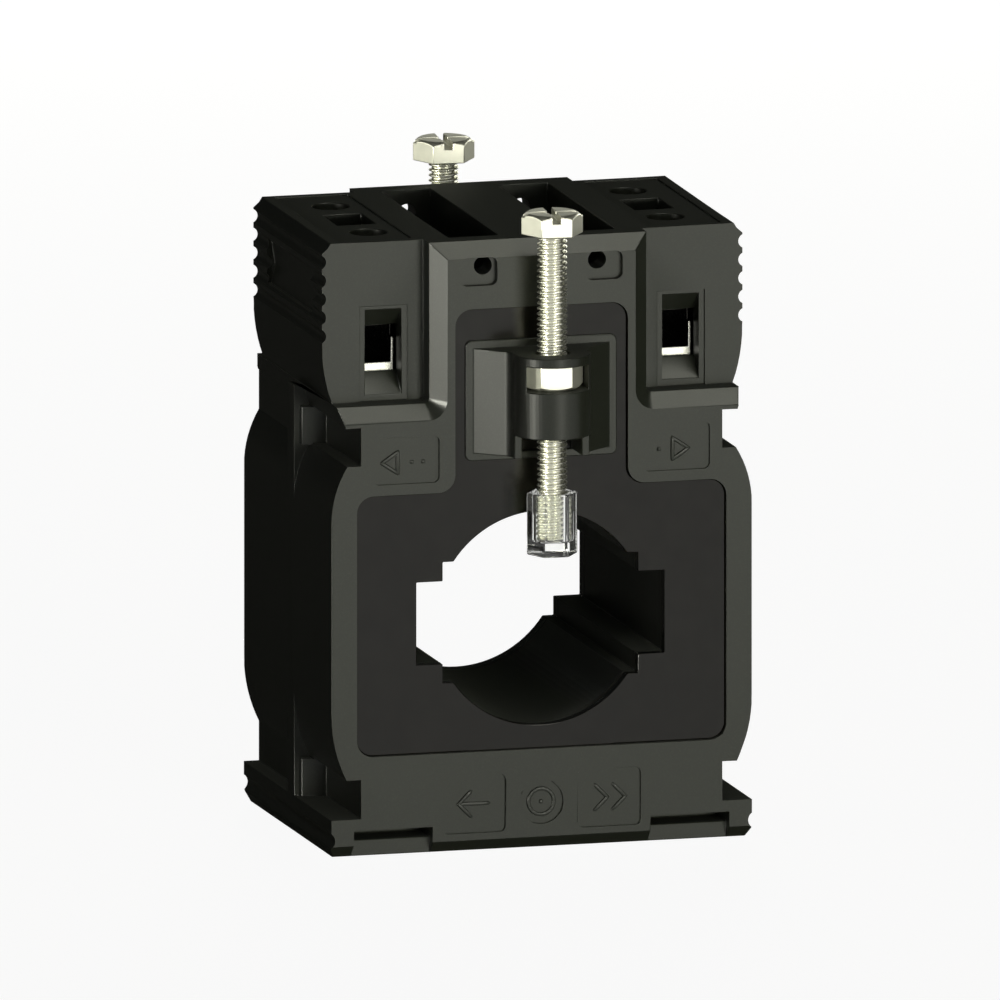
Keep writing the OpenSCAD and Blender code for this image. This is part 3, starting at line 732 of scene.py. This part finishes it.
class TRANSFORMER_OT_holders(PieceOperator):
    """Finishes the clamp holders"""
    bl_idname = "transformer.holders"
    bl_label = "Clamp holders"

    def build(self, scene):
        edge = scene.transformer_case.edge
        for face in FACES:
            finish_node(f"clamp_holder_{face}", f"holder_{face}", moulded_plastic(), edge)


class TRANSFORMER_OT_nuts(PieceOperator):
    """Finishes the nuts in the holders"""
    bl_idname = "transformer.nuts"
    bl_label = "Clamp nuts"

    def build(self, scene):
        edge = scene.transformer_metal.edge
        for face in FACES:
            piece = finish_node(f"clamp_nut_{face}", f"nut_{face}", turned_nickel(), edge)
            show_cards_in(piece)


def screw(node, name, head_height, diameter, pitch, material, edge):
    """A screw with a true thread under the head of its CAD node, and up into it"""
    low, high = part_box(node)
    under_head = high.z - head_height
    cut = under_head - 0.01 * MM
    thread_end = under_head + 0.15 * MM
    x = (low.x + high.x) / 2
    y = (low.y + high.y) / 2
    head = finished_copy(node, name, material, edge, above=cut)
    thread = thread_surface(f"{name}_thread", x, y, low.z, thread_end, diameter, pitch, material)
    for piece in (head, thread):
        piece.data.materials.append(thread_nickel_painted_shade())
    second = np.ones(len(thread.data.polygons), dtype=np.int32)
    thread.data.polygons.foreach_set("material_index", second)
    smooth(thread, THREAD_SHARP)
    return stand_for(merge_into(head, thread), node)


class TRANSFORMER_OT_clamp_screws(PieceOperator):
    """Makes the long slotted screws with their threads"""
    bl_idname = "transformer.clamp_screws"
    bl_label = "Clamp screws"

    head_height: bpy.props.FloatProperty(
        name="Head height", description="Height of the clamp screws' heads",
        subtype="DISTANCE", unit="LENGTH", default=2.8 * MM)

    def build(self, scene):
        metal = scene.transformer_metal
        for face in FACES:
            piece = screw(
                f"clamp_screw_{face}", f"long_screw_{face}", self.head_height,
                metal.clamp_thread, metal.clamp_pitch, turned_nickel(), metal.edge)
            show_cards_in(piece)


class TRANSFORMER_OT_tip_caps(PieceOperator):
    """Finishes the clear caps on the screws' tips"""
    bl_idname = "transformer.tip_caps"
    bl_label = "Tip caps"

    def build(self, scene):
        edge = 1.6 * scene.transformer_case.edge
        for face in FACES:
            finish_node(f"clamp_cap_{face}", f"tip_cap_{face}", clear_plastic(), edge)


class TRANSFORMER_OT_terminals(PieceOperator):
    """Finishes the terminal bodies, their clamping plates and screws"""
    bl_idname = "transformer.terminals"
    bl_label = "Terminals"

    head_height: bpy.props.FloatProperty(
        name="Head height", description="Height of the terminal screws' heads",
        subtype="DISTANCE", unit="LENGTH", default=1.6 * MM)

    def build(self, scene):
        metal = scene.transformer_metal
        edge = metal.edge
        for side in SIDES:
            finish_node(f"terminal_body_{side}", f"terminal_{side}", stamped_metal(), edge)
            for face in FACES:
                tag = f"{face}_{side}"
                finish_node(f"clamping_plate_{tag}", f"plate_{tag}", stamped_metal(), edge)
                screw(
                    f"terminal_screw_{tag}", f"small_screw_{tag}", self.head_height,
                    metal.terminal_thread, metal.terminal_pitch, turned_nickel(), edge)


class TRANSFORMER_OT_winding(PieceOperator):
    """Finishes the core and winds the wire round it"""
    bl_idname = "transformer.winding"
    bl_label = "Core and winding"

    def build(self, scene):
        winding = scene.transformer_winding
        repaint("ring_core", wound_strip())
        for node in ("core_cap_front", "core_cap_rear", "winding_tape"):
            repaint(node, film())
        for node in ("lead_left", "lead_right"):
            repaint(node, enamelled_wire())
        piece = self.wire(winding)
        stand_for(piece, "secondary_winding")

    def wire(self, winding):
        """The layer of wire as one rippled surface.

        At angle a round the core's axis, a rounded rectangle stands round the core's section. Its
        points lie at (radius, depth) = (middle + half_r * ripple * s(cos b), half_y * ripple *
        s(sin b)), where s keeps the sign and takes a small power, and the ripple falls from 1 by
        dip * (1 - |sin(turns * a / 2)|) between the turns.
        """
        low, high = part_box("secondary_winding")
        core_low, core_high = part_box("ring_core")
        centre = core_height()
        outer = (high.x - low.x) / 2
        core_outer = (core_high.x - core_low.x) / 2
        core_inner = 20.4 * MM        # radius of the hole in the wound strip, as in the CAD
        wall = outer - core_outer
        middle = (core_inner + core_outer) / 2
        half_r = (outer - (core_inner - wall)) / 2
        half_y = (high.y - low.y) / 2
        start = winding.split / 2
        rows = winding.turns * 6
        columns = 32
        power = 0.28
        dip = 0.22 * winding.wire / half_r
        a, b = np.meshgrid(
            np.linspace(start, 2 * math.pi - start, rows),
            np.linspace(0, 2 * math.pi, columns, endpoint=False), indexing="ij")

        def s(value):
            return np.sign(value) * np.abs(value) ** power

        ripple = 1 - dip * (1 - np.abs(np.sin(winding.turns * a / 2)))
        radius = middle + half_r * ripple * s(np.cos(b))
        depth = half_y * ripple * s(np.sin(b))
        points = np.stack([-radius * np.sin(a), depth, centre - radius * np.cos(a)], axis=-1)
        mesh = bpy.data.meshes.new("wire_layer")
        mesh.from_pydata(points.reshape(-1, 3).tolist(), [], grid_faces(rows, columns).tolist())
        mesh.materials.append(enamelled_wire())
        piece = linked("wire_layer", mesh)
        bm = bmesh.new()
        bm.from_mesh(mesh)
        bmesh.ops.recalc_face_normals(bm, faces=bm.faces)
        if bm.faces[0].normal.dot(bm.faces[0].calc_center_median() - Vector((0, 0, centre))) < 0:
            bmesh.ops.reverse_faces(bm, faces=bm.faces)
        bm.to_mesh(mesh)
        bm.free()
        wall_maker = piece.modifiers.new("Wire thickness", "SOLIDIFY")
        wall_maker.thickness = winding.wire
        wall_maker.offset = -1
        return smooth(piece, ROUND_SHARP)


class TRANSFORMER_OT_marks(PieceOperator):
    """Makes the small raised marks on the front and the rear"""
    bl_idname = "transformer.marks"
    bl_label = "Marks"

    stroke: bpy.props.FloatProperty(
        name="Stroke", description="Width of the marks' strokes",
        subtype="DISTANCE", unit="LENGTH", default=0.5 * MM)
    rise: bpy.props.FloatProperty(
        name="Rise", description="Height of the marks above the sunk plates",
        subtype="DISTANCE", unit="LENGTH", default=0.28 * MM)
    sunk: bpy.props.FloatProperty(
        name="Plate depth", description="How far the plates lie below the face of the case",
        subtype="DISTANCE", unit="LENGTH", default=0.35 * MM)

    def build(self, scene):
        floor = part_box("front_shell")[0].y + self.sunk
        for face, depth in zip(FACES, (floor, -floor)):
            points, faces = joined([self.bar(*ends, depth) for ends in self.lines()])
            piece = new_piece(f"marks_{face}", points, faces, moulded_plastic())
            smooth(piece, ROUND_SHARP)
            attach(piece, "case")

    def bar(self, start, end, depth):
        """A rounded bar from one point to another in the plane of the face"""
        x0, z0 = start
        x1, z1 = end
        length = math.hypot(x1 - x0, z1 - z0)
        turn = math.atan2(z1 - z0, x1 - x0)
        points, faces = rounded_body((length * MM + self.stroke, 2 * self.rise, self.stroke))
        x, y, z = points.T
        turned = np.stack([
            x * math.cos(turn) - z * math.sin(turn) + (x0 + x1) / 2 * MM,
            y + depth,
            x * math.sin(turn) + z * math.cos(turn) + (z0 + z1) / 2 * MM,
        ], axis=-1)
        return turned, faces

    def lines(self):
        """Ends of each stroke across and up, in millimetres"""
        left_head = [(-21.2, 51.4), (-19.1, 52.8), (-19.1, 50.0), (-21.2, 51.4)]
        right_head = [(19.6, 51.4), (17.5, 52.8), (17.5, 50.0), (19.6, 51.4)]
        ring_radius = 1.7
        ring_height = 6.15
        ring = [
            (ring_radius * math.cos(a), ring_height + ring_radius * math.sin(a))
            for a in np.linspace(0, 2 * math.pi, 17)
        ]
        arrow_head = [(-9.4, 7.9), (-11.0, 6.3), (-9.4, 4.7)]
        arrow_shaft = [(-11.0, 6.3), (-7.0, 6.3)]
        chevron = [(7.2, 7.9), (8.8, 6.3), (7.2, 4.7)]
        next_chevron = [(9.6, 7.9), (11.2, 6.3), (9.6, 4.7)]
        paths = [left_head, right_head, ring, arrow_head, arrow_shaft, chevron, next_chevron]
        dots = [(-17.2, 51.4), (-15.7, 51.4), (15.7, 51.4), (0, ring_height)]
        strokes = [ends for path in paths for ends in zip(path, path[1:])]
        return strokes + [(dot, dot) for dot in dots]


class TRANSFORMER_OT_stage(PieceOperator):
    """Makes the floor, the lamps, the background and the camera"""
    bl_idname = "transformer.stage"
    bl_label = "Stage"

    def build(self, scene):
        stage = scene.transformer_stage
        self.floor(stage)
        self.background(scene)
        target = Vector(stage.target)
        self.lamp("Front softbox", (0.20, -0.97, 0.06), (0.34, 0.20), 3.3, target)
        rear = self.lamp("Rear softbox", (0.25, 0.95, 0.06), (0.34, 0.20), 6.0, target)
        rear.visible_glossy = False
        self.card("Left card", (-0.77, -0.28, 0.09), (0.18, 0.26), 10.5, target)
        self.card("Top card", (0.20, -0.20, 0.78), (0.30, 0.20), 1.5, target)
        metal = bpy.data.collections.new(METAL_PIECES)
        self.card("Left metal card", (-0.75, 0.20, 0.10), (0.50, 0.50), 3.2, target, metal)
        self.card("Right metal card", (0.62, 0.55, 0.10), (0.60, 0.50), 3.0, target, metal)
        self.card("Rear metal card", (0.10, 0.85, 0.20), (0.60, 0.30), 0.4, target, metal)
        self.card("Front metal card", (0.15, -0.80, 0.00), (0.60, 0.60), 0.2, target, metal)
        self.camera(scene, stage, target)
        scene.view_settings.view_transform = "Standard"

    def shown(self, t, forward):
        """How much of the white surroundings a ray sees, from 0 to 1.

        The camera and clear plastic see all of them. Shine sees none of them straight behind the
        part, so that faces that the camera sees at a flat angle stay dark.
        """
        rays = t.add("ShaderNodeLightPath").socket.node.outputs
        straight = Value(t, rays["Is Camera Ray"]) + Value(t, rays["Is Transmission Ray"])
        behind = t.ramp(forward, -0.6, -0.2)
        return t.clamp(straight + Value(t, rays["Is Glossy Ray"]) * (1 - behind))

    def floor(self, stage):
        """A wide pale floor that runs out to the white background"""
        reach = 4.0
        corners = np.array([(-1, -1, 0), (1, -1, 0), (1, 1, 0), (-1, 1, 0)], float) * reach
        mesh = bpy.data.meshes.new("Floor")
        mesh.from_pydata(corners.tolist(), [], [(0, 1, 2, 3)])
        floor = linked("Floor", mesh)
        black = (0, 0, 0, 1)
        white = (1, 1, 1, 1)

        def build(t):
            grain = t.noise(t.place(), 3 * MM)
            towards_eye = t.axes(t.add("ShaderNodeNewGeometry", output="Incoming"))[1]
            return {
                "Base Color": scaled(stage.floor),
                "Roughness": grain * 0.1 + 0.7,
                "Specular IOR Level": 0.0,
                "Emission Color": t.mix(self.shown(t, towards_eye * -1), black, white),
                "Emission Strength": 0.93,
            }
        mesh.materials.append(shade("Pale floor", build))

    def background(self, scene):
        """White where the camera, metal or clear plastic sees it, and weak light elsewhere"""
        world = bpy.data.worlds.new("Studio")
        world.use_nodes = True
        scene.world = world
        t = Tree(world.node_tree.nodes, world.node_tree.links)
        forward = t.axes(t.add("ShaderNodeTexCoord", output="Generated"))[1]
        soft = t.add("ShaderNodeBackground", {"Color": (0.95, 1.0, 0.9, 1), "Strength": 0.02})
        white = t.add("ShaderNodeBackground", {"Color": (1, 1, 1, 1), "Strength": 1.0})
        both = t.add("ShaderNodeMixShader", {0: self.shown(t, forward), 1: soft, 2: white})
        t.add("ShaderNodeOutputWorld", {"Surface": both})

    def lamp(self, name, place, size, power, target):
        """A rectangular softbox that looks at the part. Its place and size are in metres"""
        light = bpy.data.lights.new(name, "AREA")
        light.shape = "RECTANGLE"
        light.size, light.size_y = size
        light.energy = power
        light.color = (1.0, 1.0, 0.88)
        lamp = linked(name, light)
        lamp.location = place
        lamp.rotation_euler = (target - Vector(place)).to_track_quat("-Z", "Y").to_euler()
        return lamp

    def card(self, name, place, size, power, target, pieces=None):
        """A bright card that only shows in shine, and only in some pieces if they are given"""
        lamp = self.lamp(name, place, size, power, target)
        lamp.visible_diffuse = False
        if pieces:
            lamp.light_linking.receiver_collection = pieces
            lamp.light_linking.blocker_collection = pieces

    def camera(self, scene, stage, target):
        """The camera, which sees without perspective"""
        away = Vector((
            math.sin(stage.azimuth) * math.cos(stage.elevation),
            -math.cos(stage.azimuth) * math.cos(stage.elevation),
            math.sin(stage.elevation),
        ))
        data = bpy.data.cameras.new("Camera")
        data.type = "ORTHO"
        data.ortho_scale = stage.view_width
        camera = linked("Camera", data)
        camera.location = target + away * stage.distance
        camera.rotation_euler = (-away).to_track_quat("-Z", "Y").to_euler()
        scene.camera = camera


OPERATORS = (
    TRANSFORMER_OT_stage,
    TRANSFORMER_OT_case,
    TRANSFORMER_OT_panels,
    TRANSFORMER_OT_tube,
    TRANSFORMER_OT_lids,
    TRANSFORMER_OT_holders,
    TRANSFORMER_OT_nuts,
    TRANSFORMER_OT_clamp_screws,
    TRANSFORMER_OT_tip_caps,
    TRANSFORMER_OT_terminals,
    TRANSFORMER_OT_winding,
    TRANSFORMER_OT_marks,
)


class TRANSFORMER_PT_pieces(bpy.types.Panel):
    """Lists the pieces and their sizes"""
    bl_label = "Current transformer"
    bl_space_type = "VIEW_3D"
    bl_region_type = "UI"
    bl_category = "Transformer"

    def draw(self, context):
        for group, kind in zip(GROUP_NAMES, GROUPS):
            column = self.layout.column(align=True)
            for name in kind.__annotations__:
                column.prop(getattr(context.scene, group), name)
        for operator in OPERATORS:
            self.layout.operator(operator.bl_idname)


def register():
    for kind in GROUPS + OPERATORS + (TRANSFORMER_PT_pieces,):
        bpy.utils.register_class(kind)
    for name, kind in zip(GROUP_NAMES, GROUPS):
        setattr(bpy.types.Scene, name, bpy.props.PointerProperty(type=kind))


def unregister():
    for name in GROUP_NAMES:
        delattr(bpy.types.Scene, name)
    for kind in reversed(GROUPS + OPERATORS + (TRANSFORMER_PT_pieces,)):
        bpy.utils.unregister_class(kind)


def main():
    register()
    for operator in OPERATORS:
        group, name = operator.bl_idname.split(".")
        getattr(getattr(bpy.ops, group), name)()


if __name__ == "__main__":
    main()
